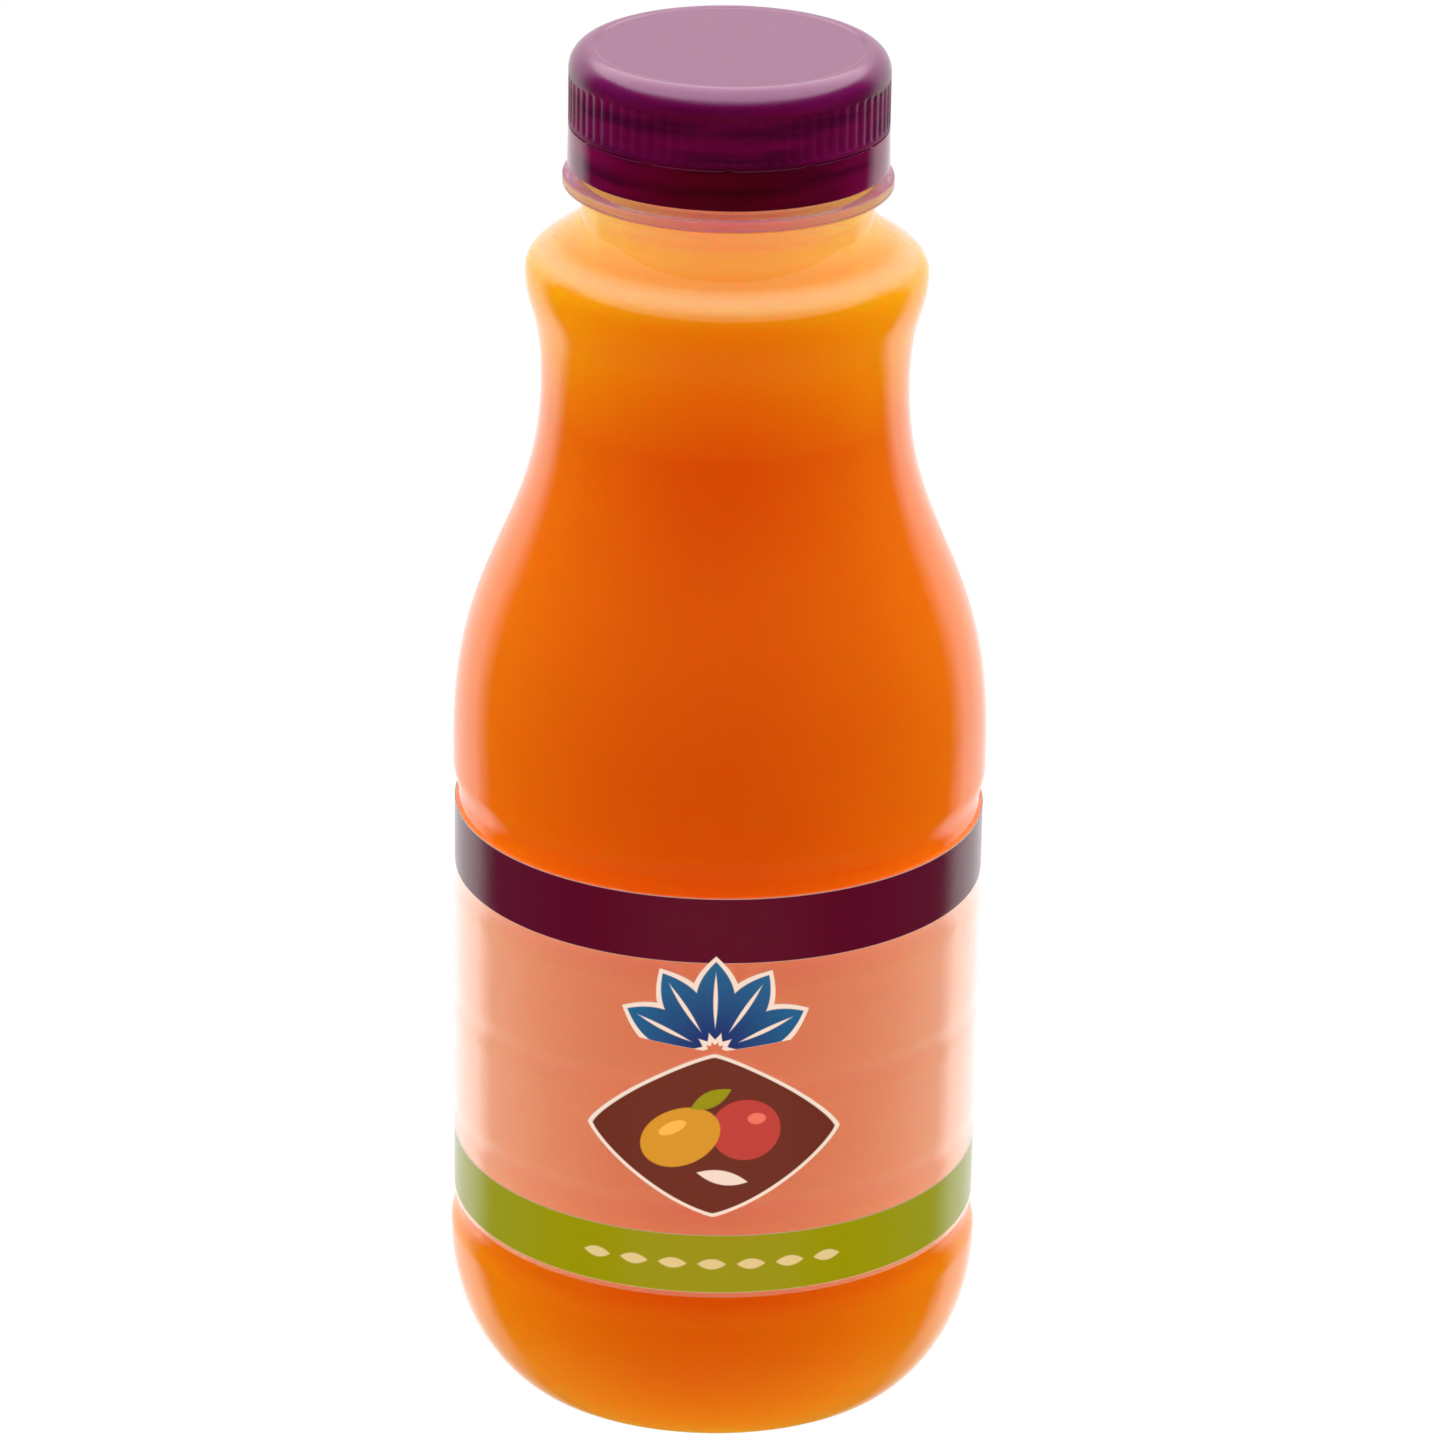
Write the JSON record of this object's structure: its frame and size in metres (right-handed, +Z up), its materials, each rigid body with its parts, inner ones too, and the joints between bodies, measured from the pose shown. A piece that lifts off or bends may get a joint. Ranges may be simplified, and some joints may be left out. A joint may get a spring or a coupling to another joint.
{
  "type": "flavoured milk bottle",
  "caption": "Clear waisted bottle filled with an orange fruit and milk drink, with a printed sleeve label and a purple ribbed screw cap on a tamper band.",
  "frame": {"origin": "middle of the ring that the bottle stands on, at the height of the surface", "axes": "+Z up the bottle's axis, towards the cap; -Y towards the front of the label"},
  "size_m": [0.0708, 0.0708, 0.1842],
  "materials": {
    "clear_plastic": "clear, thin and glossy",
    "drink": "opaque orange liquid",
    "label_film": "printed film, satin gloss",
    "cap_plastic": "smooth moulded purple"
  },
  "bodies": {
    "root": {"bottle": "clear_plastic", "drink": "drink", "label": "label_film", "cap": "cap_plastic", "tamper_band": "cap_plastic"}
  },
  "joints": []
}
